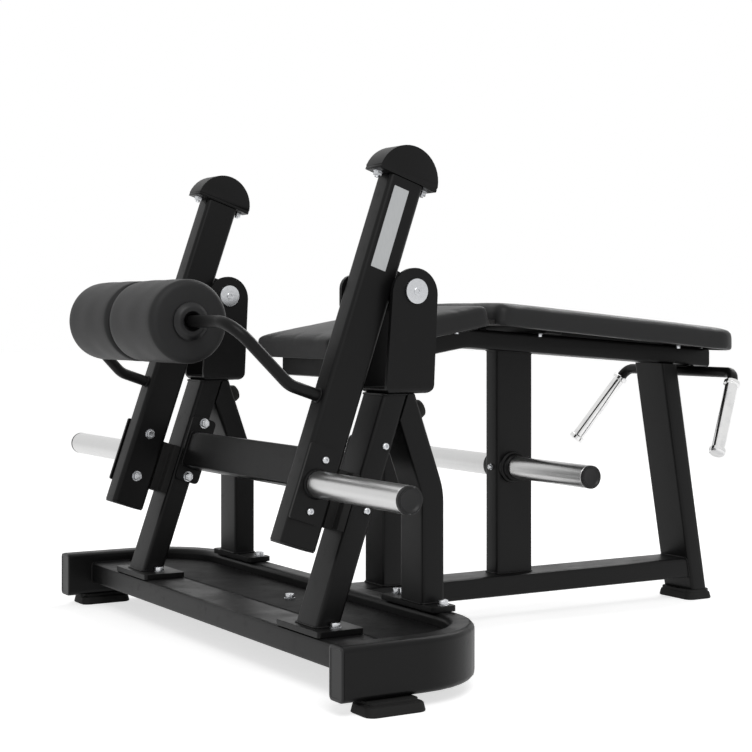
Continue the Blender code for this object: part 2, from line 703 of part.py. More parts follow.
def build_cushion(name, pad, low, corners, skirt, gaps):
    """Crowned pad with softened edges, drawn-in sides and a let-in board.

    Its sides hang below the board by skirt. gaps are the stretches that are open below.
    """
    length = (pad[1] - pad[0]) / math.cos(math.atan(pad[2]))
    outline = rounded([(0.0, -PAD_HALF), (length, -PAD_HALF), (length, PAD_HALF),
                       (0.0, PAD_HALF)], corners, 6)
    spaced = []
    for index, here in enumerate(outline):
        following = outline[(index + 1) % len(outline)]
        parts = max(1, round((Vector(following) - Vector(here)).length / 0.055))
        for part in range(parts):
            spaced.append(Vector(here).lerp(Vector(following), part / parts))
    middle = Vector((length / 2, 0.0))

    def side_ring(inset, height):
        points = []
        for point in spaced:
            draw = PAD_DRAW * math.sin(math.pi * min(1.0, max(0.0, point.x / length))) ** 2
            draw *= min(1.0, max(0.0, height / PAD_T)) * min(1.0, (PAD_T - height) / 0.01 + 0.4)
            x_in = inset * (1 - 2 * point.x / length)
            y_in = -(inset + draw) * point.y / PAD_HALF
            points.append((point.x + x_in, point.y + y_in, height))
        return points

    def top_ring(share):
        points = []
        for point in spaced:
            across = 1 - (point.y * share / PAD_HALF) ** 2
            along = 1 - (abs(point.x - middle.x) * share / (length / 2)) ** 4
            at = middle + (point - middle) * share
            points.append((at.x, at.y, PAD_T + PAD_CROWN * across * max(0.0, along)))
        return points

    edge = 0.012
    rings = [side_ring(0.003, -skirt), side_ring(0.0, 0.004 - skirt), side_ring(0.0, 0.016),
             side_ring(0.0, PAD_T - edge)]
    for angle in (30, 60):
        turn = math.radians(angle)
        rings.append(side_ring(edge * (1 - math.cos(turn)),
                               PAD_T - edge * (1 - math.sin(turn))))
    rings += [top_ring(share) for share in (0.945, 0.82, 0.62, 0.38, 0.12)]
    cushion = pad_frame(pad, low, place(loft(rings), name, VINYL))

    def board_outline(inset):
        half = PAD_HALF - inset
        return rounded([(inset, -half), (length - inset, -half), (length - inset, half),
                        (inset, half)], 0.030, 3)

    recess = prism(board_outline(BOARD_INSET - GAP), -0.002, BOARD_T + GAP, "Z")
    cut(cushion, pad_frame(pad, low, place(recess, f"{name}_recess", BOARD)))
    for half, start, after in gaps:
        stop = length + after
        relief = prism([(start, -half), (stop, -half), (stop, half), (start, half)],
                       -skirt - 0.01, 0.001, "Z")
        cut(cushion, pad_frame(pad, low, place(relief, f"{name}_relief", BOARD)))
    board = prism(board_outline(BOARD_INSET), 0.0005, BOARD_T, "Z")
    pad_frame(pad, low, place(board, f"{name}_board", BOARD))


def build_packer(name, pad, low, places):
    """H-shaped steel between bench tube and board, thicker towards the bend."""
    wide = 0.024
    first, last, tail = places
    half = [(first - wide, 0.120), (first + wide, 0.120), (first + wide, 0.040),
            (last - wide, 0.040), (last - wide, 0.120), (last + wide, 0.120)]
    half += [(last + wide, 0.040), (tail, 0.040)] if tail else []
    outline = rounded([(x, -y) for x, y in half] + half[::-1], 0.004, 1)
    under = [(x, y, beam_top(x) + GAP) for x, y in outline]
    over = [(x, y, pad_low(pad, low, x) + 0.0005 - GAP) for x, y in outline]
    place(loft([under, over]), name, BLACK_STEEL, smooth=False)


def build_handles():
    half = [Vector(HANDLE_TIP), Vector((HANDLE.x, HANDLE_HALF, HANDLE.z))]
    mirror = [Vector((p.x, -p.y, p.z)) for p in reversed(half)]
    path = round_path(half + mirror, HANDLE_BEND, 6)
    place(pipe(path, HANDLE_R), "handle_bar", BLACK_STEEL)
    for side, sign in sides():
        tip = Vector((HANDLE_TIP.x, sign * HANDLE_TIP.y, HANDLE_TIP.z))
        corner = Vector((HANDLE.x, sign * HANDLE_HALF, HANDLE.z))
        line = corner - tip
        length = line.length - 0.026
        closed = 0.004
        profile = [(GRIP_COLLAR_R - 0.003, -closed), (GRIP_COLLAR_R, -closed + 0.003),
                   (GRIP_COLLAR_R, 0.008), (GRIP_R, 0.010), (GRIP_R, length - 0.012),
                   (GRIP_COLLAR_R, length - 0.010), (GRIP_COLLAR_R, length - 0.002),
                   (GRIP_COLLAR_R - 0.002, length)]
        pieces = [place(turned(profile, (0, 0, 0), "Z", 20), f"handle_grip_{side}", CHROME)]
        bore = [(HANDLE_R + GAP, -GAP), (HANDLE_R + GAP, length + 0.02)]
        pieces.append(place(turned(bore, (0, 0, 0), "Z", 20), f"grip_bore_{side}", CHROME))
        for piece in pieces:
            piece.location = tip
            piece.rotation_euler = line.to_track_quat("Z", "Y").to_euler()
        cut(*pieces)


def build_storage(post):
    """Two welded collars on the post, a bar in each and a cap on each bar."""
    centre = (STORE_X, 0.0, STORE_Z)
    face = POST_THIN / 2
    for side, sign in sides():
        collar = [(STORE_COLLAR_R, face - 0.004), (STORE_COLLAR_R, face + 0.008),
                  (0.031, face + 0.010), (0.031, face + 0.020), (0.028, face + 0.023)]
        tool = place(turned(collar, centre, sign=sign), f"collar_{side}", BLACK_STEEL)
        cut(post, tool, "UNION")
        base = face + 0.023 + GAP
        tip = STORE_TIP - CAP_T
        bar = [(HORN_R - 0.001, base), (HORN_R, base + 0.001), (HORN_R, tip - 0.001),
               (HORN_R - 0.001, tip)]
        place(turned(bar, centre, sign=sign), f"storage_horn_{side}", BARE_STEEL)
        cap = [(HORN_R + 0.0012, tip + GAP), (HORN_R + 0.0012, STORE_TIP - 0.002),
               (HORN_R - 0.001, STORE_TIP)]
        place(turned(cap, centre, sign=sign), f"storage_cap_{side}", PLASTIC)


def build_machine():
    build_base()
    build_foot("front_foot_left", 0.058, 0.673, 0.124, 0.078, 0.012)
    build_foot("front_foot_right", 0.058, -0.673, 0.124, 0.078, 0.012)
    build_foot("rear_foot", FOOT_END - 0.040, 0.0, 0.080, 0.122, 0.006)
    for side, sign in sides():
        build_legs(side, sign)
        build_bracket(side, sign)
        build_stop(side, sign)
        build_lever(side, sign)
    build_cross_tube()
    build_roller()
    build_storage(build_bench_frame())
    rim = BOARD_INSET + 0.002
    build_cushion("hip_pad", HIP_PAD, HIP_LOW, [0.016, 0.014, 0.014, 0.016], HIP_SKIRT,
                  [(PAD_HALF - rim, rim, 0.02)])
    build_cushion("chest_pad", CHEST_PAD, CHEST_LOW, [0.026, 0.060, 0.060, 0.026], CHEST_SKIRT,
                  [(PAD_HALF - rim, -0.02, -rim), (BENCH_W / 2 + 0.004, 0.10, 0.02)])
    build_packer("hip_pad_packer", HIP_PAD, HIP_LOW, (0.380, 0.605, None))
    build_packer("chest_pad_packer", CHEST_PAD, CHEST_LOW, (0.835, 1.250, 1.335))
    build_handles()


build_machine()
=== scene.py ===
# %% [markdown]
# # Lying hamstring machine
#
# The user lies face down on a bent bench, hooks both heels under a pair of foam rollers and curls
# them up. The rollers sit on a bent bar between two long levers. Weight plates slide on a horn at the
# foot of each lever, and a half-round block at its top balances the empty lever. This script takes
# the finished frame of the machine and makes its looks: paint, chrome, rubber, vinyl, fasteners.

# %% Load the frame
import json
import math

import bmesh
import bpy
from mathutils import Euler, Matrix, Vector


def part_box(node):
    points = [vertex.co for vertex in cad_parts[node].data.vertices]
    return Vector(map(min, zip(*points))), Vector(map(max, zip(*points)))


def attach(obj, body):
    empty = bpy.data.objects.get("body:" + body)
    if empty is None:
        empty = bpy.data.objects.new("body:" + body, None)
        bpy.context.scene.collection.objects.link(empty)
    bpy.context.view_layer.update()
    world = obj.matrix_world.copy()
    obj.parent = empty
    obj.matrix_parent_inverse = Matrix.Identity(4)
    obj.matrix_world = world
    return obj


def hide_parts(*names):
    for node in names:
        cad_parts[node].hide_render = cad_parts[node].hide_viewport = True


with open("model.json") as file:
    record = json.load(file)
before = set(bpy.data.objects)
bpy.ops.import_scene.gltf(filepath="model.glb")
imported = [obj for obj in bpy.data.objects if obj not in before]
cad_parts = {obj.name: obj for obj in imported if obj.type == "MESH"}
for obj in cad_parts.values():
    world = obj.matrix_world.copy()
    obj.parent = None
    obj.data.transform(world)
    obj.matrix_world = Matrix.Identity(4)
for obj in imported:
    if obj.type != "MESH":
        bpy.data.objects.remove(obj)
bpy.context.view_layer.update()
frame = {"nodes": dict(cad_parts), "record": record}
nodes = frame["nodes"]

# %% [markdown]
# All places below are given the way a fitter would measure them: X towards the head end, from a line
# across the base near its open end, Y from the middle plane, Z from the floor. The frame has its
# origin under the middle of the machine, so one number carries a measured X over to it. The levers
# and the front legs lean by the same angle, so their places are easier to give along that lean.

# %% Places and directions
MID_X = 0.5855
SIDES = (("left", 1), ("right", -1))
SIDE_Y = 0.410                   # middle plane of a side frame and its lever
LEAN = math.radians(19.0)
X, Y, Z = Vector((1, 0, 0)), Vector((0, 1, 0)), Vector((0, 0, 1))
UPRIGHT = Vector((math.sin(LEAN), 0.0, math.cos(LEAN)))
ACROSS = Vector((math.cos(LEAN), 0.0, -math.sin(LEAN)))


def at(x, y, z):
    """A measured place, in the frame's own coordinates."""
    return Vector((x - MID_X, y, z))


def leaning(x, y, z, along=0.0, across=0.0):
    """A place measured along and across the lean of the levers and front legs."""
    return at(x + along * math.sin(LEAN) + across * math.cos(LEAN), y,
              z + along * math.cos(LEAN) - across * math.sin(LEAN))


hoop_low, hoop_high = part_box("base_hoop")
print("base hoop spans", [round(v, 3) for v in hoop_high - hoop_low])

# %% [markdown]
# An operator works on whatever is selected, so two small helpers choose that in code: `only` for
# whole objects, and `pick` for the faces, edges or points of the mesh that is being edited. A piece
# is finished by `settle`, which leaves it at the origin with its place in its mesh.

# %% Helpers for shaping a piece
NEAR = 1e-5                      # closer than this counts as level


def only(thing):
    """Leave one object selected and active."""
    for other in list(bpy.context.selected_objects):
        other.select_set(False)
    bpy.context.view_layer.objects.active = thing
    thing.select_set(True)


def pick(thing, test, kind="FACE"):
    """In edit mode, select just the faces, edges or points that pass a test."""
    bpy.ops.mesh.select_mode(type=kind)
    bpy.ops.mesh.select_all(action="DESELECT")
    shape = bmesh.from_edit_mesh(thing.data)
    for item in {"FACE": shape.faces, "EDGE": shape.edges, "VERT": shape.verts}[kind]:
        if test(item):
            item.select_set(True)
    bmesh.update_edit_mesh(thing.data)


def edge_middle(edge):
    return (edge.verts[0].co + edge.verts[1].co) / 2


def climb(edge):
    """How far an edge rises along Z."""
    return abs(edge.verts[0].co.z - edge.verts[1].co.z)


def settle(piece, finish, smooth=None, move=None):
    """Put a piece's place into its mesh, smooth edges below an angle, and give it a finish."""
    only(piece)
    bpy.ops.object.transform_apply(location=True, rotation=True, scale=True)
    if move:
        piece.data.transform(move)
    if smooth:
        bpy.ops.object.shade_smooth_by_angle(angle=math.radians(smooth))
    piece.data.materials.append(finish.material)


print("shaping helpers ready")

# %% [markdown]
# The camera stands low, off the open end of the base and the right side of the machine, as the
# photographer did. A long lens keeps the near and the far side much the same size. The camera looks
# level, so upright tubes stay upright in the picture, and a small shift of the lens lowers the view.

# %% Camera
lens = bpy.data.cameras.new("studio_camera")
lens.sensor_width = 36.0
lens.lens = 80.76
lens.shift_y = -0.0775
lens.clip_end = 60.0
camera = bpy.data.objects.new("studio_camera", lens)
camera.location = at(-1.4799, -3.2054, 0.691)
camera.rotation_euler = Euler((math.radians(90.0), 0.0, math.radians(-30.86)))
bpy.context.scene.collection.objects.link(camera)
bpy.context.scene.camera = camera
print("camera", tuple(round(v, 3) for v in camera.location))

# %% [markdown]
# A material here is written as sums. `Wire` wraps a socket so that `1 - mask * 0.5` builds the Math
# nodes by itself. `Tree` has the one method that makes every other node, and `Finish` is a material
# that is built with it.

# %% Writing materials as sums
class Wire:
    """A socket that can be added, scaled and compared."""

    def __init__(self, tree, socket):
        self.tree, self.socket = tree, socket

    def maths(self, operation, other, flipped=False):
        first, second = (other, self) if flipped else (self, other)
        return self.tree.make("ShaderNodeMath", {"operation": operation}, {0: first, 1: second})

    def __add__(self, other):
        return self.maths("ADD", other)

    def __sub__(self, other):
        return self.maths("SUBTRACT", other)

    def __rsub__(self, other):
        return self.maths("SUBTRACT", other, True)

    def __mul__(self, other):
        return self.maths("MULTIPLY", other)

    __radd__ = __add__
    __rmul__ = __mul__

    def between(self, low, high):
        """0 below low, 1 above high, and a straight line between."""
        return self.tree.make("ShaderNodeMapRange", {"clamp": True},
                              {"Value": self, "From Min": low, "From Max": high})


class Tree:
    """The nodes of a material or of the surroundings."""

    def __init__(self, owner):
        owner.use_nodes = True
        self.nodes, self.links = owner.node_tree.nodes, owner.node_tree.links

    def join(self, value, socket):
        if isinstance(value, Wire):
            self.links.new(value.socket, socket)
        else:
            socket.default_value = value

    def make(self, kind, settings=None, inputs=None, output=0):
        node = self.nodes.new(kind)
        for name, value in (settings or {}).items():
            setattr(node, name, value)
        for name, value in (inputs or {}).items():
            self.join(value, node.inputs[name])
        return Wire(self, node.outputs[output])


class Finish(Tree):
    """A material: fixed values on its shader, and nodes for what varies."""

    def __init__(self, name, colour, roughness, **fixed):
        self.material = bpy.data.materials.new(name)
        super().__init__(self.material)
        self.shader = self.nodes["Principled BSDF"]
        self.shader.inputs["Base Color"].default_value = (*colour, 1.0)
        self.shader.inputs["Roughness"].default_value = roughness
        for socket, value in fixed.items():
            self.shader.inputs[socket.replace("_", " ")].default_value = value

    def place(self, stretch=(1.0, 1.0, 1.0), turn=(0.0, 0.0, 0.0)):
        """Object coordinates, stretched and turned."""
        where = self.make("ShaderNodeTexCoord", output="Object")
        return self.make("ShaderNodeMapping", None,
                         {"Vector": where, "Scale": stretch, "Rotation": turn})

    def noise(self, scale, detail=2.0, rough=0.5, where=None):
        return self.make("ShaderNodeTexNoise", None,
                         {"Vector": where or self.place(), "Scale": scale, "Detail": detail,
                          "Roughness": rough})

    def blend(self, amount, dark, light):
        return self.make("ShaderNodeMix", {"data_type": "RGBA"},
                         {"Factor": amount, 6: (*dark, 1.0), 7: (*light, 1.0)}, output=2)

    def use(self, name, value):
        self.join(value, self.shader.inputs[name])

    def bump(self, height, strength, depth):
        self.use("Normal", self.make("ShaderNodeBump", None,
                                     {"Height": height, "Strength": strength,
                                      "Distance": depth}))


print("material helpers ready")

# %% [markdown]
# The frame is powder coated. The powder melts into a satin skin with a faint orange-peel texture a
# millimetre or so across. Dull scuffs break the gloss here and there, and the upward faces hold a
# trace of dust. Metalness stays at zero, because the eye sees the paint. The deck plate, where shoes
# go, has a duller coat of its own.

# %% Powder coat
def powder(name, dark, light, shine, roughness, dusty):
    """Satin paint with cloudy gloss, dull scuffs and dust on what faces up."""
    paint = Finish(name, dark, roughness, Specular_IOR_Level=shine)
    cloud = paint.noise(6.0, 3.0)
    scuff = paint.noise(38.0, 6.0, 0.65).between(0.56, 0.72)
    upward = paint.make("ShaderNodeSeparateXYZ", None,
                        {"Vector": paint.make("ShaderNodeTexCoord", output="Normal")}, output=2)
    dust = upward.between(0.7, 1.0) * paint.noise(14.0, 4.0, 0.6).between(0.35, 0.75)
    paint.use("Base Color", paint.blend(dust * dusty + cloud * 0.25 + scuff * 0.15, dark, light))
    paint.use("Roughness", cloud * 0.08 + scuff * 0.10 + dust * 0.14 + roughness - 0.04)
    paint.bump(paint.noise(750.0, 1.0), 0.35, 0.0003)
    return paint


coat = powder("powder_coat", (0.0036, 0.0036, 0.0038), (0.012, 0.0117, 0.0114), 0.155, 0.38, 0.45)
deck_coat = powder("deck_coat", (0.0045, 0.0045, 0.0047), (0.012, 0.0118, 0.0115), 0.09, 0.56,
                   0.25)
print("powder coats:", len(coat.nodes), "and", len(deck_coat.nodes), "nodes")

# %% [markdown]
# Three bright metals are used. The plate horns are ground and hard chromed, so fine marks run round
# them and sliding plates leave dull lines along them. The grips are polished. Bolts and washers are
# zinc plated: a little blue, a little blotchy.

# %% Bright metals
horn_chrome = Finish("ground_chrome", (0.60, 0.60, 0.595), 0.30, Metallic=1.0)
rings = horn_chrome.noise(5.0, 4.0, 0.6, horn_chrome.place((1.0, 260.0, 1.0)))
slides = horn_chrome.noise(3.0, 5.0, 0.7, horn_chrome.place((260.0, 3.0, 260.0)))
worn = slides.between(0.58, 0.75)
horn_chrome.use("Base Color", horn_chrome.blend(rings * 0.5 + worn * 0.3, (0.66, 0.66, 0.655),
                                                (0.45, 0.45, 0.455)))
horn_chrome.use("Roughness", rings * 0.10 + worn * 0.10 + 0.25)
horn_chrome.bump(rings, 0.08, 0.0001)

polish = Finish("polished_chrome", (0.80, 0.80, 0.80), 0.06, Metallic=1.0)
smear = polish.noise(30.0, 4.0, 0.6).between(0.45, 0.75)
polish.use("Base Color", polish.blend(smear, (0.74, 0.74, 0.735), (0.60, 0.60, 0.61)))
polish.use("Roughness", smear * 0.12 + 0.13)

zinc = Finish("zinc_plate", (0.68, 0.69, 0.71), 0.28, Metallic=1.0)
spangle = zinc.noise(220.0, 3.0, 0.6)
zinc.use("Base Color", zinc.blend(spangle, (0.64, 0.65, 0.665), (0.46, 0.47, 0.49)))
zinc.use("Roughness", spangle * 0.22 + 0.16)
zinc.bump(spangle, 0.10, 0.0001)
print("bright metals ready")

# %% [markdown]
# Rubber feet and stops are matt and slightly grey, with moulding speckle. Plastic caps and the
# roller flanges are moulded with a fine spark-eroded texture. The boards under the pads are ply
# sprayed black.

# %% Rubber, plastic and board
rubber = Finish("moulded_rubber", (0.010, 0.010, 0.010), 0.72, Specular_IOR_Level=0.20)
grime = rubber.noise(45.0, 5.0, 0.6)
rubber.use("Base Color", rubber.blend(grime, (0.007, 0.007, 0.007), (0.019, 0.0185, 0.018)))
rubber.use("Roughness", grime * 0.20 + 0.62)
rubber.bump(rubber.noise(900.0, 2.0), 0.30, 0.0002)

plastic = Finish("moulded_plastic", (0.009, 0.009, 0.0095), 0.40, Specular_IOR_Level=0.28)
haze = plastic.noise(25.0, 3.0)
plastic.use("Base Color", plastic.blend(haze, (0.006, 0.006, 0.0065), (0.014, 0.014, 0.0145)))
plastic.use("Roughness", haze * 0.14 + 0.34)
plastic.bump(plastic.noise(1500.0, 1.0), 0.25, 0.0001)

board = Finish("black_ply", (0.020, 0.019, 0.018), 0.80)
grain = board.noise(60.0, 6.0, 0.6, board.place((1.0, 12.0, 40.0)))
board.use("Base Color", board.blend(grain, (0.014, 0.013, 0.012), (0.040, 0.036, 0.032)))
board.use("Roughness", grain * 0.2 + 0.66)
board.bump(grain, 0.3, 0.0003)
print("rubber, plastic and board ready")

# %% [markdown]
# The pads are covered in coated fabric with a pressed leather grain: small domes with creases
# between them, which a Voronoi cell pattern gives. The roller skins have the same cells, finer and
# duller, because the foam is dipped and not covered.

# %% Vinyl
def grained(name, dark, light, cells_per_metre, sheen, roughness):
    """Pressed vinyl: domed cells, cloudy wear and a soft gloss."""
    cover = Finish(name, dark, roughness, Specular_IOR_Level=0.24, Sheen_Weight=sheen,
                   Sheen_Roughness=0.5)
    cells = cover.make("ShaderNodeTexVoronoi", {"feature": "F1"},
                       {"Vector": cover.place(), "Scale": cells_per_metre, "Randomness": 0.9})
    creases = cover.noise(cells_per_metre * 0.45, 3.0)
    rubbed = cover.noise(7.0, 4.0, 0.6)
    cover.use("Base Color", cover.blend(rubbed * 0.7 + cells * 0.3, dark, light))
    cover.use("Roughness", rubbed * 0.16 + cells * 0.10 + roughness - 0.12)
    cover.bump(1.0 - cells * 0.8 + creases * 0.4, 0.40, 0.0004)
    return cover


pad_vinyl = grained("pad_vinyl", (0.0055, 0.0055, 0.0058), (0.012, 0.012, 0.0124), 620.0, 0.03,
                    0.47)
roller_skin = grained("roller_skin", (0.010, 0.010, 0.0104), (0.019, 0.019, 0.0194), 900.0, 0.04,
                      0.55)
print("vinyls:", len(pad_vinyl.nodes), "nodes each")

# %% [markdown]
# Every frame piece is drawn with loose flat triangles. To paint it well, a copy is welded together,
# its flat areas are made whole again, and its cut edges get the small radius that grinding and
# powder leave. Then light runs round tubes and glints on plate edges. The copy stands for the
# original piece. The horn caps and the soft pieces are modelled anew further down.

# %% Dress the steel and plastic pieces
FINISHES = {"black_powder_coat": coat, "bright_steel": zinc, "satin_chrome": horn_chrome,
            "polished_chrome": polish, "black_rubber": rubber, "black_plastic": plastic,
            "pad_board": board}
OWN_FINISH = {"deck_plate": deck_coat}
SLOTS = {entry["node"]: entry["material_slot"] for entry in frame["record"]["subparts"]}
BODIES = {node: body for body, members in frame["record"]["behaviour"]["bodies"].items()
          for node in members}
MODELLED_ANEW = ("horn_cap_left", "horn_cap_right", "storage_cap_left", "storage_cap_right",
                 "hip_pad", "chest_pad", "roller_pad_left", "roller_pad_right")
EDGE = 0.0010
OWN_EDGE = {"handle_grip_left": 0.0005, "handle_grip_right": 0.0005, "roller_bar": 0.0,
            "handle_bar": 0.0, "hip_pad_packer": 0.0006, "chest_pad_packer": 0.0006}


def dress(node, edge):
    """A welded, edge-rounded copy of a frame piece, in its finish."""
    piece = nodes[node].copy()
    piece.data = nodes[node].data.copy()
    piece.name = f"{node}_skin"
    piece.parent = None
    for key in list(piece.keys()):
        del piece[key]
    bpy.context.scene.collection.objects.link(piece)
    only(piece)
    if piece.data.has_custom_normals:
        bpy.ops.mesh.customdata_custom_splitnormals_clear()
    bpy.ops.object.mode_set(mode="EDIT")
    bpy.ops.mesh.select_all(action="SELECT")
    bpy.ops.mesh.remove_doubles(threshold=0.00002)
    bpy.ops.mesh.dissolve_limited(angle_limit=math.radians(0.6))
    bpy.ops.object.mode_set(mode="OBJECT")
    if edge:
        rim = piece.modifiers.new("rim", "BEVEL")
        rim.width, rim.segments, rim.limit_method = edge, 2, "ANGLE"
        rim.angle_limit = math.radians(48)
        bpy.ops.object.modifier_apply(modifier=rim.name)
    bpy.ops.object.shade_smooth_by_angle(angle=math.radians(40))
    even = piece.modifiers.new("even", "WEIGHTED_NORMAL")
    even.keep_sharp = True
    bpy.ops.object.modifier_apply(modifier=even.name)
    piece.data.materials.clear()
    piece.data.materials.append(OWN_FINISH.get(node, FINISHES[SLOTS[node]]).material)
    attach(piece, BODIES[node])
    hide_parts(node)
    return piece


skins = {node: dress(node, OWN_EDGE.get(node, EDGE)) for node in sorted(nodes)
         if node not in MODELLED_ANEW}
print(len(skins), "pieces dressed,", sum(len(skin.data.polygons) for skin in skins.values()),
      "faces")

# %% [markdown]
# A counterweight is a half-round block on a thin steel plate, welded and ground together. The joint
# shows as a fine groove round the block just above its flat side: the mesh is bisected there, the
# new edge loop is beveled, and its middle is sunk.

# %% Groove above the counterweight's plate
BLOCK_X, BLOCK_Z = 0.2465, 0.957     # middle of a counterweight's flat side
BLOCK_PLATE = 0.0068                 # thickness of the plate under it
for side, sign in SIDES:
    block = skins[f"counterweight_{side}"]
    seat = leaning(BLOCK_X, sign * SIDE_Y, BLOCK_Z, along=BLOCK_PLATE)
    only(block)
    bpy.ops.object.mode_set(mode="EDIT")
    bpy.ops.mesh.select_all(action="SELECT")
    bpy.ops.mesh.bisect(plane_co=seat, plane_no=UPRIGHT)
    pick(block, lambda edge: all(abs((v.co - seat).dot(UPRIGHT)) < NEAR for v in edge.verts), "EDGE")
    bpy.ops.mesh.bevel(offset=0.0007, segments=2)
    pick(block, lambda vert: abs((vert.co - seat).dot(UPRIGHT)) < NEAR, "VERT")
    bpy.ops.transform.shrink_fatten(value=-0.0009)
    bpy.ops.object.mode_set(mode="OBJECT")
    print(block.name, "grooved,", len(block.data.polygons), "faces")

# %% [markdown]
# The front legs stand on flanges that reach well past the leg towards the middle of the machine, to
# spread its load along the base tube. The copy of each flange is stretched that way and moved a
# little forward. Its corners and edges move by groups, so that the corner radii and the thickness
# stay as they are.

# %% Longer front flanges
# axis, which side of the flange moves, and how far, counted away from the middle plane on Y
STRETCH = ((0, -1, -0.010), (0, 1, -0.012), (1, -1, -0.029), (1, 1, 0.015))
for side, sign in SIDES:
    flange = skins[f"front_flange_{side}"]
    low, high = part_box(f"front_flange_{side}")
    centre = (low + high) / 2
    only(flange)
    bpy.ops.object.mode_set(mode="EDIT")
    for axis, way, shift in STRETCH:
        outwards = sign if axis == 1 else 1
        pick(flange, lambda vert: way * outwards * (vert.co[axis] - centre[axis]) > 0, "VERT")
        move = Vector((0.0, 0.0, 0.0))
        move[axis] = outwards * shift
        bpy.ops.transform.translate(value=move)
    bpy.ops.object.mode_set(mode="OBJECT")
    print(flange.name, "stretched to", [round(v, 3) for v in flange.dimensions])

# %% [markdown]
# The frame is welded, and a weld bead shows at every joint of two tubes: a rounded fillet with small
# ripples from the torch. A bead is a curve round the tube, thickened by its bevel. The radius of
# each of its points rises and falls a little, which makes the ripples, and then it becomes a mesh.

# %% Weld beads
RIPPLE = 0.0020                      # distance between the points of a bead


def ring_of(centre, along, across, half_along, half_across, radius=0.008):
    """Points round a tube of rounded section."""
    points = []
    for a, b, start in ((1, 1, 0.0), (-1, 1, 90.0), (-1, -1, 180.0), (1, -1, 270.0)):
        for step in range(5):
            angle = math.radians(start + 22.5 * step)
            points.append(centre + along * (a * (half_along - radius) + radius * math.cos(angle))
                          + across * (b * (half_across - radius) + radius * math.sin(angle)))
    return points


def line_of(x, reach, z):
    """Points of a straight line across the machine."""
    return [at(x, y, z) for y in (-reach, 0.0, reach)]


def weld(name, corners, body="frame", thick=0.0022, closed=True):
    """A rippled bead along a line of corners."""
    ends = corners + corners[:1] if closed else corners
    points = []
    for here, there in zip(ends, ends[1:]):
        parts = max(1, round((there - here).length / RIPPLE))
        points += [here.lerp(there, part / parts) for part in range(parts)]
    run = bpy.data.curves.new(name, "CURVE")
    run.dimensions, run.bevel_depth, run.bevel_resolution = "3D", thick, 2
    run.use_fill_caps = not closed
    line = run.splines.new("POLY")
    line.points.add(len(points) - 1)
    line.use_cyclic_u = closed
    for number, (knot, place) in enumerate(zip(line.points, points)):
        knot.co = (*place, 1.0)
        knot.radius = 1.0 + 0.10 * math.sin(number * 2.1) + 0.06 * math.sin(number * 0.37)
    bead = bpy.data.objects.new(name, run)
    bpy.context.scene.collection.objects.link(bead)
    only(bead)
    bpy.ops.object.convert(target="MESH")
    bead = bpy.context.active_object
    bpy.ops.object.shade_smooth()
    bead.data.materials.clear()
    bead.data.materials.append(coat.material)
    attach(bead, body)
    return bead


print("a bead has a point every", RIPPLE * 1000, "mm")

# %% [markdown]
# Most beads are rings round the end of a tube. They are listed by the middle of the ring, its two
# directions, and half the tube along each. Straight beads hold the handle bar under the bench tube
# and close the seam between the deck plate and the tube in front of it.

# %% Beads in their places
SIDE_RINGS = (("front_leg_weld", (0.062, SIDE_Y, 0.1130), X, Y, 0.0268, 0.0428),
              ("rear_leg_weld", (0.296, SIDE_Y, 0.1370), X, Y, 0.0263, 0.0428),
              ("bracket_weld", (0.2111, SIDE_Y, 0.5438), X, Y, 0.0268, 0.0428),
              ("cross_tube_weld", (0.165, 0.3583, 0.383), UPRIGHT, ACROSS, 0.0412, 0.0252),
              ("front_beam_weld", (0.068, 0.6350, 0.076), X, Z, 0.0502, 0.0242))
# a post's two faces on X, half its width, and the slope and height of the bench tube above it
POSTS = (("centre_post", 0.430, 0.480, 0.0428, 0.165, 0.5912),
         ("mid_post", 0.745, 0.845, 0.0252, -0.074, 0.6119))
BASE_TUBE = (0.0492, 0.0242)
REAR_POST_UP = Vector((-0.17, 0, 1))
beads = []
for side, sign in SIDES:
    for name, (x, y, z), along, across, half_along, half_across in SIDE_RINGS:
        ring = ring_of(at(x, sign * y, z), along, across, half_along, half_across)
        beads.append(weld(f"{name}_{side}", ring))
    bar_end = leaning(0.1001, sign * SIDE_Y, 0.531, across=-0.0400)
    beads.append(weld(f"roller_bar_weld_{side}",
                      ring_of(bar_end, UPRIGHT, Y, 0.0124, 0.0124, 0.0123), "swing", 0.0018))
for name, front, rear, half, slope, top in POSTS:
    middle, reach = (front + rear) / 2, (rear - front) / 2 + 0.0003
    foot = ring_of(at(middle, 0.0, 0.1030), X, Y, reach, half)
    head = ring_of(at(middle, 0.0, top), Vector((1, 0, slope)), Y, reach, half)
    beads += [weld(f"{name}_foot_weld", foot), weld(f"{name}_head_weld", head)]
beads.append(weld("hoop_weld", ring_of(at(0.3262, 0.0, 0.078), Y, Z, *BASE_TUBE)))
beads.append(weld("rear_post_weld", ring_of(at(1.2969, 0.0, 0.078), Y, REAR_POST_UP, *BASE_TUBE)))
for step in (-1, 1):
    beads.append(weld(f"handle_weld_{step + 1}", line_of(1.309 + step * 0.0095, 0.043, 0.5725),
                      closed=False))
beads.append(weld("deck_seam", line_of(0.1172, 0.634, 0.0968), closed=False))
print(len(beads), "beads,", sum(len(bead.data.polygons) for bead in beads), "faces")

# %% [markdown]
# The two pads are foam on a board, under a stretched cover. The cover pulls the long sides in
# between the corners and lets the top rise into a low crown, and its edge hangs a little below the
# board. Each pad starts as a block a few millimetres too small, with its corner and edge radii.

# %% Pad blocks
PEAK_X = 0.645                       # where the bench is highest
PAD_HALF = 0.174
PAD_T = 0.0405
START = 0.0035                       # how far the block stays inside the finished pad
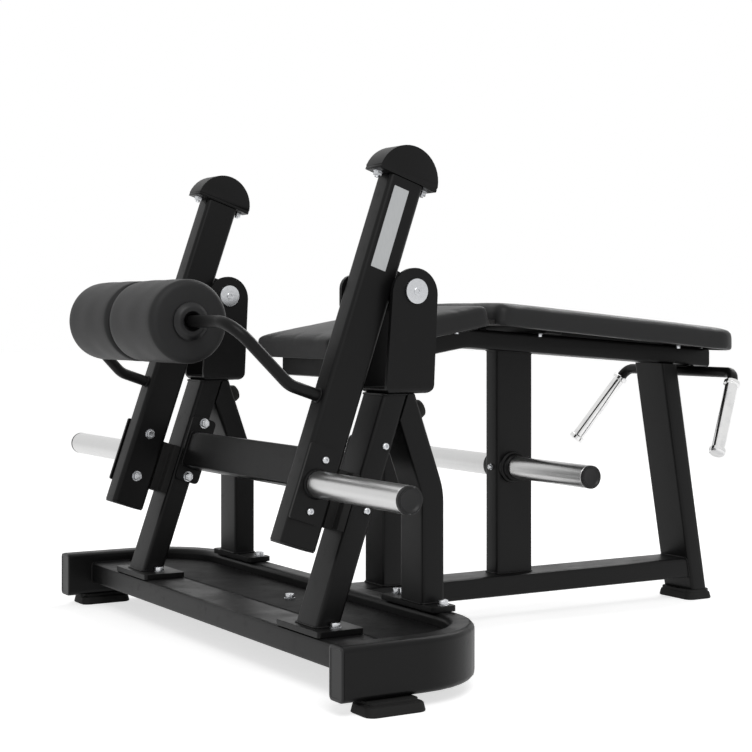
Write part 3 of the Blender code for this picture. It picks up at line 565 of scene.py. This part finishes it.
# low is the height of the board's underside at the peak, skirt how far the cover hangs below it,
# and open lists the cuts that clear the skirt: start, end past the pad's own, half width, top
PADS = {"hip_pad": dict(front=0.222, rear=0.632, slope=0.1755, low=0.6840, skirt=0.008,
                        corners=(0.016, 0.014), rim=0.009, voxel=0.0055,
                        open=((0.024, 0.02, 0.150, 0.001),)),
        "chest_pad": dict(front=0.645, rear=1.366, slope=-0.091, low=0.6860, skirt=0.011,
                          corners=(0.026, 0.060), rim=0.014, voxel=0.006,
                          open=((-0.02, -0.024, 0.150, 0.001), (0.10, 0.02, 0.049, -0.005)))}


def pad_block(name, pad, length):
    """The pad before it is stuffed: length on X, its board's underside at zero."""
    low, high = 0.0005 - pad["skirt"], PAD_T - START
    bpy.ops.mesh.primitive_cube_add(size=1.0, location=(length / 2, 0.0, (low + high) / 2))
    block = bpy.context.active_object
    block.name = f"{name}_cushion"
    block.scale = (length - 2 * START, 2 * (PAD_HALF - START), high - low)
    bpy.ops.object.transform_apply(location=True, rotation=True, scale=True)
    bpy.ops.object.mode_set(mode="EDIT")
    for end, radius in zip((0.0, length), pad["corners"]):
        pick(block, lambda edge: climb(edge) > 0.02 and abs(edge_middle(edge).x - end) < 0.05,
             "EDGE")
        bpy.ops.mesh.bevel(offset=radius, segments=7, profile=0.5)
    pick(block, lambda edge: min(v.co.z for v in edge.verts) > high - 0.001, "EDGE")
    bpy.ops.mesh.bevel(offset=pad["rim"], segments=5, profile=0.5)
    pick(block, lambda edge: max(v.co.z for v in edge.verts) < low + 0.001, "EDGE")
    bpy.ops.mesh.bevel(offset=0.004, segments=2, profile=0.5)
    bpy.ops.object.mode_set(mode="OBJECT")
    return block


print("pads:", ", ".join(PADS))

# %% [markdown]
# The block is puffed up as cloth under air pressure. The movement is damped the more it grows,
# because firm foam under tight vinyl hardly swells. On top of that, each point is lifted a little
# into the crown and drawn in on the long sides.

# %% Stuffing a pad
SWELL = 0.006
CROWN = 0.0035
DRAW = 0.0045
SHOULDER = 0.88                      # share of the half width where the sides begin
FRAMES = 20


def clamp(value, low, high):
    return max(low, min(high, value))


def firm(start, moved, pad, length):
    """Where a point of the block ends up, from its start and how far the cloth moved it."""
    height = clamp((start.z + pad["skirt"]) / (PAD_T + pad["skirt"]), 0.0, 1.0)
    damped = moved * (height * SWELL / (SWELL + moved.length))
    across = max(0.0, 1.0 - (start.y / PAD_HALF) ** 2)
    along = max(0.0, 1.0 - (abs(start.x - length / 2) / (length / 2)) ** 4)
    side = max(0.0, abs(start.y) / PAD_HALF - SHOULDER) / (1.0 - SHOULDER)
    belly = math.sin(math.pi * clamp(start.x / length, 0.0, 1.0)) ** 2
    draw = math.copysign(DRAW * side * belly * height, start.y)
    spot = start + damped + Vector((0.0, -draw, CROWN * across * along * height))
    limit = PAD_HALF - 0.0003
    return clamp(spot.x, 0.0003, length - 0.0012), clamp(spot.y, -limit, limit), spot.z


def stuff(block, pad, length):
    """Puff the block up as cloth, and keep only as much of it as a firm pad shows."""
    grid = block.modifiers.new("grid", "REMESH")
    grid.mode, grid.voxel_size = "VOXEL", pad["voxel"]
    bpy.ops.object.modifier_apply(modifier=grid.name)
    flat = [v.co.copy() for v in block.data.vertices]
    swollen = [v.normal * 0.02 for v in block.data.vertices]
    cloth = block.modifiers.new("cover", "CLOTH")
    cloth.settings.use_pressure = True
    cloth.settings.uniform_pressure_force = 4.0
    cloth.settings.effector_weights.gravity = 0.0
    cloth.point_cache.frame_end = FRAMES
    for step in range(1, FRAMES + 1):
        bpy.context.scene.frame_set(step)
    bpy.ops.object.modifier_apply(modifier=cloth.name)
    bpy.context.scene.frame_set(1)
    swollen = [v.co - start for v, start in zip(block.data.vertices, flat)]
    for vertex, start, moved in zip(block.data.vertices, flat, swollen):
        vertex.co = firm(start, moved, pad, length)
    fine = block.modifiers.new("fine", "SUBSURF")
    fine.levels = fine.render_levels = 1
    bpy.ops.object.modifier_apply(modifier=fine.name)


print("a pad swells by up to", SWELL * 1000, "mm")

# %% [markdown]
# Last, a pocket for the board is cut into the underside, and the skirt is cut away where it would
# touch the bench. A rounded box cuts each of these. Then the pad is tilted onto the bench.

# %% Pads on their boards
BOARD_T = 0.015
BOARD_INSET = 0.0217
DEEP = 0.060                         # how far a cutter reaches below the board's underside


def hollow(cushion, start, stop, half, top, corner):
    """Cut a rounded box out of the underside, up to top."""
    bpy.ops.mesh.primitive_cube_add(size=1.0, location=((start + stop) / 2, 0.0, (top - DEEP) / 2))
    cutter = bpy.context.active_object
    cutter.scale = (stop - start, 2 * half, top + DEEP)
    bpy.ops.object.transform_apply(location=True, rotation=True, scale=True)
    bpy.ops.object.mode_set(mode="EDIT")
    pick(cutter, lambda edge: climb(edge) > 0.02, "EDGE")
    bpy.ops.mesh.bevel(offset=corner, segments=5, profile=0.5)
    bpy.ops.object.mode_set(mode="OBJECT")
    only(cushion)
    step = cushion.modifiers.new("pocket", "BOOLEAN")
    step.operation, step.solver, step.object = "DIFFERENCE", "EXACT", cutter
    bpy.ops.object.modifier_apply(modifier=step.name)
    bpy.data.objects.remove(cutter)


for node, pad in PADS.items():
    length = (pad["rear"] - pad["front"]) / math.cos(math.atan(pad["slope"]))
    cushion = pad_block(node, pad, length)
    stuff(cushion, pad, length)
    hollow(cushion, BOARD_INSET, length - BOARD_INSET, PAD_HALF - BOARD_INSET, BOARD_T + 0.0004,
           0.030)
    for start, after, half, top in pad["open"]:
        hollow(cushion, start, length + after, half, top, 0.002)
    cushion.location = at(pad["front"], 0.0, pad["low"] + pad["slope"] * (pad["front"] - PEAK_X))
    cushion.rotation_euler = (0.0, -math.atan(pad["slope"]), 0.0)
    settle(cushion, pad_vinyl, 50)
    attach(cushion, "frame")
    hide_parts(node)
    print(node, len(cushion.data.polygons), "faces")

# %% [markdown]
# A roller is a thick foam sleeve pushed over a plastic core. Its outer rim is rounded, and its inner
# rim a little less, where the two sleeves face each other. The dipped skin is gently uneven. The
# sleeve is made from a cylinder: the ends are inset twice, and the inner faces bridged into a bore.

# %% Foam rollers
ROLLER_X, ROLLER_Z = -0.116, 0.684
ROLLER_R = 0.083
ROLLER_HALF = 0.223                  # from the middle plane to the outer end
ROLLER_SPLIT = 0.006                 # from the middle plane to the inner end
BORE_R = 0.0208
END_RING = 0.030
RIMS = ((1, 0.016, 7), (-1, 0.013, 6))
for side, sign in SIDES:
    middle = (ROLLER_HALF + ROLLER_SPLIT) / 2
    depth = ROLLER_HALF - ROLLER_SPLIT
    bpy.ops.mesh.primitive_cylinder_add(vertices=96, radius=ROLLER_R, depth=depth)
    roller = bpy.context.active_object
    roller.name = f"roller_foam_{side}"
    bpy.ops.object.mode_set(mode="EDIT")
    pick(roller, lambda face: abs(face.normal.z) > 0.9)
    bpy.ops.mesh.inset(thickness=END_RING)
    bpy.ops.mesh.inset(thickness=ROLLER_R - END_RING - BORE_R)
    bpy.ops.mesh.bridge_edge_loops()
    for end, radius, segments in RIMS:
        pick(roller, lambda edge: climb(edge) < NEAR and edge_middle(edge).z * end > 0
             and edge_middle(edge).xy.length > ROLLER_R - 0.002, "EDGE")
        bpy.ops.mesh.bevel(offset=radius, segments=segments, profile=0.5)
    pick(roller, lambda edge: climb(edge) > depth * 0.4, "EDGE")
    bpy.ops.mesh.subdivide(number_cuts=15)
    bpy.ops.object.mode_set(mode="OBJECT")
    for vertex in roller.data.vertices:
        reach = vertex.co.xy.length
        if reach > ROLLER_R - 0.0005:        # low waves along and round the skin
            wave = math.sin(vertex.co.z * 70.0 + 1.3 * sign) * math.sin(
                3.0 * math.atan2(vertex.co.y, vertex.co.x) + sign)
            vertex.co.xy *= 1.0 - (0.0006 + 0.0005 * wave) / reach
    roller.rotation_euler = (math.radians(-90.0 * sign), 0.0, 0.0)
    roller.location = at(ROLLER_X, sign * middle, ROLLER_Z)
    settle(roller, roller_skin, 50)
    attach(roller, f"roller_{side}")
    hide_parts(f"roller_pad_{side}")
    print(roller.name, len(roller.data.polygons), "faces")

# %% [markdown]
# Fasteners are modelled once and copied. The outside of a joint shows a small domed head with a
# socket. Its inside shows a nut on a washer, and the flanges and pads are held by hexagon heads.
# Each copy gets its own mesh, turned so that its axis points out of the face that it clamps.

# %% Bolt patterns
WASHER_T = 0.0016


def hexagon(name, across, height, washer):
    """A hexagon head on its washer, axis on +Z, seated at zero."""
    bpy.ops.mesh.primitive_cylinder_add(vertices=6, radius=across / math.sqrt(3.0), depth=height,
                                        location=(0.0, 0.0, WASHER_T + height / 2))
    head = bpy.context.active_object
    head.name = name
    bpy.ops.object.mode_set(mode="EDIT")
    pick(head, lambda face: face.normal.z > 0.9)
    bpy.ops.mesh.inset(thickness=across * 0.06)
    bpy.ops.transform.translate(value=(0.0, 0.0, height * 0.10))
    bpy.ops.mesh.inset(thickness=across * 0.16)
    bpy.ops.transform.translate(value=(0.0, 0.0, -height * 0.08))
    bpy.ops.mesh.select_all(action="SELECT")
    bpy.ops.mesh.bevel(offset=0.0004, segments=1)
    bpy.ops.mesh.primitive_cylinder_add(vertices=28, radius=washer, depth=WASHER_T,
                                        location=(0.0, 0.0, WASHER_T / 2))
    bpy.ops.object.mode_set(mode="OBJECT")
    settle(head, zinc, 30)
    return head


def domed(name, radius, height):
    """A round domed head with a socket, axis on +Z, seated at zero."""
    bpy.ops.mesh.primitive_cylinder_add(vertices=30, radius=radius, depth=height * 0.45,
                                        location=(0.0, 0.0, height * 0.225))
    head = bpy.context.active_object
    head.name = name
    bpy.ops.object.mode_set(mode="EDIT")
    pick(head, lambda face: face.normal.z > 0.9)
    for share, rise in ((0.10, 0.26), (0.14, 0.18), (0.18, 0.09)):
        bpy.ops.mesh.inset(thickness=radius * share)
        bpy.ops.transform.translate(value=(0.0, 0.0, height * rise))
    bpy.ops.mesh.inset(thickness=radius * 0.16)
    bpy.ops.mesh.extrude_region_move(TRANSFORM_OT_translate={"value": (0, 0, -height * 0.6)})
    bpy.ops.object.mode_set(mode="OBJECT")
    settle(head, zinc, 35)
    return head


def facing(place, out):
    """The move that seats a piece on a place, with its own Z along out."""
    return Matrix.Translation(place) @ Vector(out).to_track_quat("Z", "Y").to_matrix().to_4x4()


def fit(pattern, name, place, out, body):
    """Copy a pattern to a place with its axis along out."""
    copy = bpy.data.objects.new(name, pattern.data.copy())
    bpy.context.scene.collection.objects.link(copy)
    copy.data.transform(facing(place, out))
    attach(copy, body)
    return copy


nut = hexagon("nut", 0.017, 0.0080, 0.0115)
small = hexagon("small_bolt", 0.010, 0.0050, 0.0070)
button = domed("domed_bolt", 0.0073, 0.0050)
print("bolt patterns:", nut.name, small.name, button.name)

# %% [markdown]
# Two bolts clamp each horn plate through its lever and two clamp each end of the cross tube through
# its leg. Each foot flange has a nut on either side of its leg, and the pads are bolted from below
# through the packers. One small bolt shows on the middle post, and one nut on the deck.

# %% Bolts in their places
HORN_Z = 0.380
# middle of a pair on X and Z, half their distance, shift across the lean, outer and inner face, body
CLAMPED = (("horn", 0.034, HORN_Z, 0.050, 0.010, 0.4440, 0.3824, "swing"),
           ("cross", 0.165, 0.385, 0.064, 0.0, 0.4527, 0.3590, "frame"))
# middle of a pair on X, Y and Z, and half their distance
FLANGED = (("front", 0.070, SIDE_Y, 0.1121, 0.054), ("rear", 0.303, 0.391, 0.1361, 0.084))
PAD_BOLT_Y = 0.066
PACKED = ((0.380, 0.6246), (0.605, 0.6617), (0.835, 0.6540), (1.250, 0.6233))
fasteners = []
for side, sign in SIDES:
    for step in (-1, 1):
        row = f"{side}_{step + 1}"
        for name, x, z, half, shift, outer, inner, body in CLAMPED:
            spot = leaning(x, sign * outer, z, step * half, shift)
            fasteners.append(fit(button, f"{name}_bolt_{row}", spot, (0, sign, 0), body))
            spot.y = sign * inner
            fasteners.append(fit(nut, f"{name}_nut_{row}", spot, (0, -sign, 0), body))
        for name, x, y, z, half in FLANGED:
            spot = at(x, sign * (y + step * half), z)
            fasteners.append(fit(nut, f"{name}_flange_nut_{row}", spot, (0, 0, 1), "frame"))
    for number, (x, z) in enumerate(PACKED):
        spot = at(x, sign * PAD_BOLT_Y, z - 0.0001)
        fasteners.append(fit(small, f"pad_bolt_{side}_{number}", spot, (0, 0, -1), "frame"))
fasteners.append(fit(small, "post_bolt", at(0.7449, 0.0, 0.347), (-1, 0, 0), "frame"))
fasteners.append(fit(nut, "deck_nut", at(0.186, -0.063, 0.1001), (0, 0, 1), "frame"))
print(len(fasteners), "fasteners placed")

# %% [markdown]
# Each counterweight sits on two studs that come down beside the lever, with a washer, a nut and a
# short end of thread. Each end of a pivot shaft is closed by a socket screw in its washer.

# %% Counterweight studs and pivot screws
def threaded_stud():
    """Washer, nut and a stub of thread, axis on +Z."""
    nut_t, stub = 0.0070, 0.0040
    bpy.ops.mesh.primitive_cylinder_add(vertices=24, radius=0.0100, depth=WASHER_T,
                                        location=(0.0, 0.0, WASHER_T / 2))
    stud = bpy.context.active_object
    stud.name = "stud"
    bpy.ops.object.mode_set(mode="EDIT")
    bpy.ops.mesh.primitive_cylinder_add(vertices=6, radius=0.0092, depth=nut_t,
                                        location=(0.0, 0.0, WASHER_T + nut_t / 2))
    bpy.ops.mesh.primitive_cylinder_add(vertices=20, radius=0.0045, depth=stub,
                                        location=(0.0, 0.0, WASHER_T + nut_t + stub / 2))
    pick(stud, lambda face: face.normal.z > 0.9 and face.calc_center_median().z > 0.012)
    for turn in range(4):
        for swell in (0.86, 1.16):
            bpy.ops.mesh.extrude_region_move(TRANSFORM_OT_translate={"value": (0, 0, 0.0007)})
            bpy.ops.transform.resize(value=(swell, swell, 1.0))
    bpy.ops.object.mode_set(mode="OBJECT")
    settle(stud, zinc, 30)
    return stud


def socket_screw():
    """A low screw head with a deep socket, axis on +Z."""
    bpy.ops.mesh.primitive_cylinder_add(vertices=36, radius=0.0078, depth=0.0012,
                                        location=(0.0, 0.0, 0.0006))
    screw = bpy.context.active_object
    screw.name = "socket_screw"
    bpy.ops.object.mode_set(mode="EDIT")
    pick(screw, lambda face: face.normal.z > 0.9)
    bpy.ops.mesh.inset(thickness=0.0010)
    bpy.ops.transform.translate(value=(0.0, 0.0, 0.0007))
    bpy.ops.mesh.inset(thickness=0.0028)
    bpy.ops.mesh.extrude_region_move(TRANSFORM_OT_translate={"value": (0, 0, -0.0016)})
    bpy.ops.object.mode_set(mode="OBJECT")
    settle(screw, zinc, 30)
    return screw


stud, screw = threaded_stud(), socket_screw()
PIVOT_X, PIVOT_Z = 0.249, 0.742
STUD_STEP = 0.0535                   # from the lever's middle to a stud
SHAFT_HALF = 0.0582                  # from the lever's middle to the shaft's end
for side, sign in SIDES:
    for step in (-1, 1):
        row = f"{side}_{step + 1}"
        spot = leaning(BLOCK_X, sign * SIDE_Y, BLOCK_Z, 0.0, step * STUD_STEP)
        fit(stud, f"counterweight_stud_{row}", spot, -UPRIGHT, "swing")
        spot = at(PIVOT_X, sign * (SIDE_Y + step * SHAFT_HALF), PIVOT_Z)
        fit(screw, f"pivot_screw_{row}", spot, (0, sign * step, 0), "frame")
for pattern in (nut, small, button, stud, screw):
    bpy.data.objects.remove(pattern)
print("studs and pivot screws placed")

# %% [markdown]
# A horn is a thick chromed tube. A black plastic cap closes its end: a rounded lip as wide as the
# horn covers the cut edge, and inside it lies a dish. Both are turned, with the axis on the horn.

# %% Horn ends
CAP_R = 0.0252
DISH_R = 0.0232
CAP_T = 0.0069
# inset and rise of each step from the dish's edge to its middle
DISH = ((0.0004, 0.0006), (0.0014, 0.0), (0.0022, -0.0022), (0.0022, -0.0016), (0.0020, -0.0004))


def horn_cap(node, tip, sign, body):
    """The rounded lip of a horn's cap and the dish inside it, at the horn's tip."""
    bpy.ops.mesh.primitive_cylinder_add(vertices=64, radius=CAP_R, depth=CAP_T,
                                        location=(0.0, 0.0, -CAP_T / 2))
    ring = bpy.context.active_object
    ring.name = f"{node}_lip"
    bpy.ops.object.mode_set(mode="EDIT")
    pick(ring, lambda edge: edge_middle(edge).z > CAP_T / 2 - 0.0001, "EDGE")
    bpy.ops.mesh.bevel(offset=0.0013, segments=4)
    pick(ring, lambda face: abs(face.normal.z) > 0.99 and face.calc_center_median().xy.length < 0.01)
    bpy.ops.mesh.inset(thickness=0.0006)
    bpy.ops.mesh.bridge_edge_loops()
    bpy.ops.mesh.select_all(action="SELECT")
    bpy.ops.mesh.normals_make_consistent(inside=False)
    bpy.ops.object.mode_set(mode="OBJECT")
    bpy.ops.mesh.primitive_cylinder_add(vertices=64, radius=DISH_R, depth=CAP_T - 0.001,
                                        location=(0.0, 0.0, -CAP_T / 2))
    lid = bpy.context.active_object
    lid.name = f"{node}_plug"
    bpy.ops.object.mode_set(mode="EDIT")
    pick(lid, lambda face: face.normal.z > 0.9)
    for inset, rise in DISH:
        bpy.ops.mesh.inset(thickness=inset)
        bpy.ops.transform.translate(value=(0.0, 0.0, rise))
    bpy.ops.object.mode_set(mode="OBJECT")
    for piece in (ring, lid):
        settle(piece, plastic, 35, facing(tip, (0, sign, 0)))
        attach(piece, body)
    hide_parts(node)


for side, sign in SIDES:
    horn_cap(f"horn_cap_{side}", at(0.042, sign * 0.7728, HORN_Z), sign, "swing")
    horn_cap(f"storage_cap_{side}", at(0.785, sign * 0.322, 0.347), sign, "frame")
print("horn ends closed")

# %% [markdown]
# The open ends of the tubes are closed by plastic plugs. Each shows as a thin rounded lip whose
# middle is slightly sunk, turned to face out of its tube.

# %% Tube plugs
def plug(name, centre, across, tall, out, up, body, lift=0.0018):
    """A thin rounded lip on a tube's end, its middle slightly sunk and lifted off the end."""
    bpy.ops.mesh.primitive_cube_add(size=1.0)
    lip = bpy.context.active_object
    lip.name = name
    lip.scale = (across - 0.002, tall - 0.002, 0.003)
    bpy.ops.object.transform_apply(location=True, rotation=True, scale=True)
    bpy.ops.object.mode_set(mode="EDIT")
    pick(lip, lambda edge: climb(edge) > 0.001, "EDGE")
    bpy.ops.mesh.bevel(offset=0.009, segments=4)
    pick(lip, lambda edge: min(v.co.z for v in edge.verts) > 0.001, "EDGE")
    bpy.ops.mesh.bevel(offset=0.0018, segments=2)
    pick(lip, lambda face: face.normal.z > 0.99)
    bpy.ops.mesh.inset(thickness=0.004)
    bpy.ops.mesh.inset(thickness=0.001)
    bpy.ops.transform.translate(value=(0.0, 0.0, -0.0008))
    bpy.ops.object.mode_set(mode="OBJECT")
    out, up = Vector(out).normalized(), Vector(up).normalized()
    turn = Matrix((up.cross(out), up, out)).transposed().to_4x4()
    settle(lip, plastic, 35, Matrix.Translation(centre + out * lift) @ turn)
    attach(lip, body)


LEVER_END = 0.264                    # height of a lever's lower end
# a lever's middle line passes X .012 at a height of .276
lever_end_x = 0.012 + (LEVER_END - 0.276) * math.tan(LEAN)
for side, sign in SIDES:
    plug(f"hoop_plug_{side}", at(-0.038, sign * 0.661, 0.074), 0.050, 0.100, -X, Z, "frame")
    plug(f"lever_plug_{side}", at(lever_end_x, sign * SIDE_Y, LEVER_END), 0.055, 0.078, -UPRIGHT,
         ACROSS, "swing")
    plug(f"head_tube_plug_{side}", at(0.285, sign * 0.110, 0.589), 0.050, 0.050, (0, sign, 0), Z,
         "frame")
plug("bench_plug_rear", at(1.369, 0.0, 0.5919), 0.0932, 0.0482, X, Z, "frame", -0.0008)
print("tube ends closed")

# %% [markdown]
# A bare metal plate is fixed on the outside of the right lever, in line with it. It is thin sheet,
# brushed along its length, with small corner radii.

# %% Bare plate
sheet_metal = Finish("bare_plate", (0.46, 0.47, 0.475), 0.36, Metallic=0.85)
brush = sheet_metal.noise(40.0, 3.0, 0.6, sheet_metal.place((40.0, 1.0, 2.0), (0.0, -LEAN, 0.0)))
sheet_metal.use("Base Color", sheet_metal.blend(brush, (0.50, 0.51, 0.515), (0.38, 0.39, 0.395)))
sheet_metal.use("Roughness", brush * 0.16 + 0.28)
bpy.ops.mesh.primitive_cube_add(size=1.0)
tag = bpy.context.active_object
tag.name = "bare_tag"
tag.scale = (0.034, 0.0008, 0.165)
bpy.ops.object.transform_apply(location=True, rotation=True, scale=True)
bpy.ops.object.mode_set(mode="EDIT")
pick(tag, lambda edge: abs(edge.verts[0].co.y - edge.verts[1].co.y) > 0.0004, "EDGE")
bpy.ops.mesh.bevel(offset=0.0015, segments=3)
bpy.ops.object.mode_set(mode="OBJECT")
tag.rotation_euler = (0.0, LEAN, 0.0)
tag.location = at(0.2048, -0.4383, 0.8629)
settle(tag, sheet_metal)
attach(tag, "swing")
print("plate spans", [round(v, 3) for v in tag.dimensions])

# %% [markdown]
# The stage is a pale floor and a white surround. The camera and bright metal see them bright, but
# they light the machine only gently. That is done with the light path: a ray that shows the stage
# gets more light from it than a ray that falls on the machine.

# %% Floor and surround
FLOOR_GLOW = 0.66
SURROUND_LIGHT = 0.40


def shows_stage(tree):
    """1 for a ray that ends in the picture, straight or by a mirror or glass, and 0 for the rest."""
    seen = tree.make("ShaderNodeLightPath", output="Is Camera Ray")
    for kind in ("Is Glossy Ray", "Is Transmission Ray"):
        seen = seen.maths("MAXIMUM", tree.make("ShaderNodeLightPath", output=kind))
    return seen


bpy.ops.mesh.primitive_plane_add(size=60.0, location=(0.0, 0.0, -0.0002))
floor = bpy.context.active_object
floor.name = "studio_floor"
pale = Finish("studio_floor", (0.80, 0.80, 0.80), 0.9, Specular_IOR_Level=0.1)
glow = pale.make("ShaderNodeEmission", None, {"Color": (1.0, 1.0, 1.0, 1.0),
                                              "Strength": shows_stage(pale) * FLOOR_GLOW})
both = pale.make("ShaderNodeAddShader", None,
                 {0: Wire(pale, pale.shader.outputs[0]), 1: glow})
pale.join(both, pale.nodes["Material Output"].inputs["Surface"])
floor.data.materials.append(pale.material)

world = bpy.data.worlds.new("white_surround")
bpy.context.scene.world = world
surround = Tree(world)
sky = surround.nodes["Background"]
surround.join((1.0, 1.0, 1.0, 1.0), sky.inputs["Color"])
strength = surround.make("ShaderNodeMapRange", None,
                         {"Value": shows_stage(surround), "To Min": SURROUND_LIGHT, "To Max": 1.0})
surround.join(strength, sky.inputs["Strength"])
print("floor and surround ready")

# %% [markdown]
# Two large soft lamps give the shape: one high above the camera, and one behind the head end, which
# draws light lines along the upper edges.

# %% Lamps
AIM = Vector((0.0, 0.0, 0.4))
LAMPS = (("key_lamp", (-1.6, -3.4, 3.8), 2.6, 80.0), ("rear_lamp", (2.8, 1.6, 3.0), 2.2, 50.0))
for name, place, size, power in LAMPS:
    lamp = bpy.data.lights.new(name, "AREA")
    lamp.shape, lamp.size, lamp.energy = "DISK", size, power
    holder = bpy.data.objects.new(name, lamp)
    holder.location = place
    holder.rotation_euler = (AIM - Vector(place)).to_track_quat("-Z", "Y").to_euler()
    bpy.context.scene.collection.objects.link(holder)
bpy.context.scene.view_settings.view_transform = "Standard"
print("stage set,", len(LAMPS), "lamps")
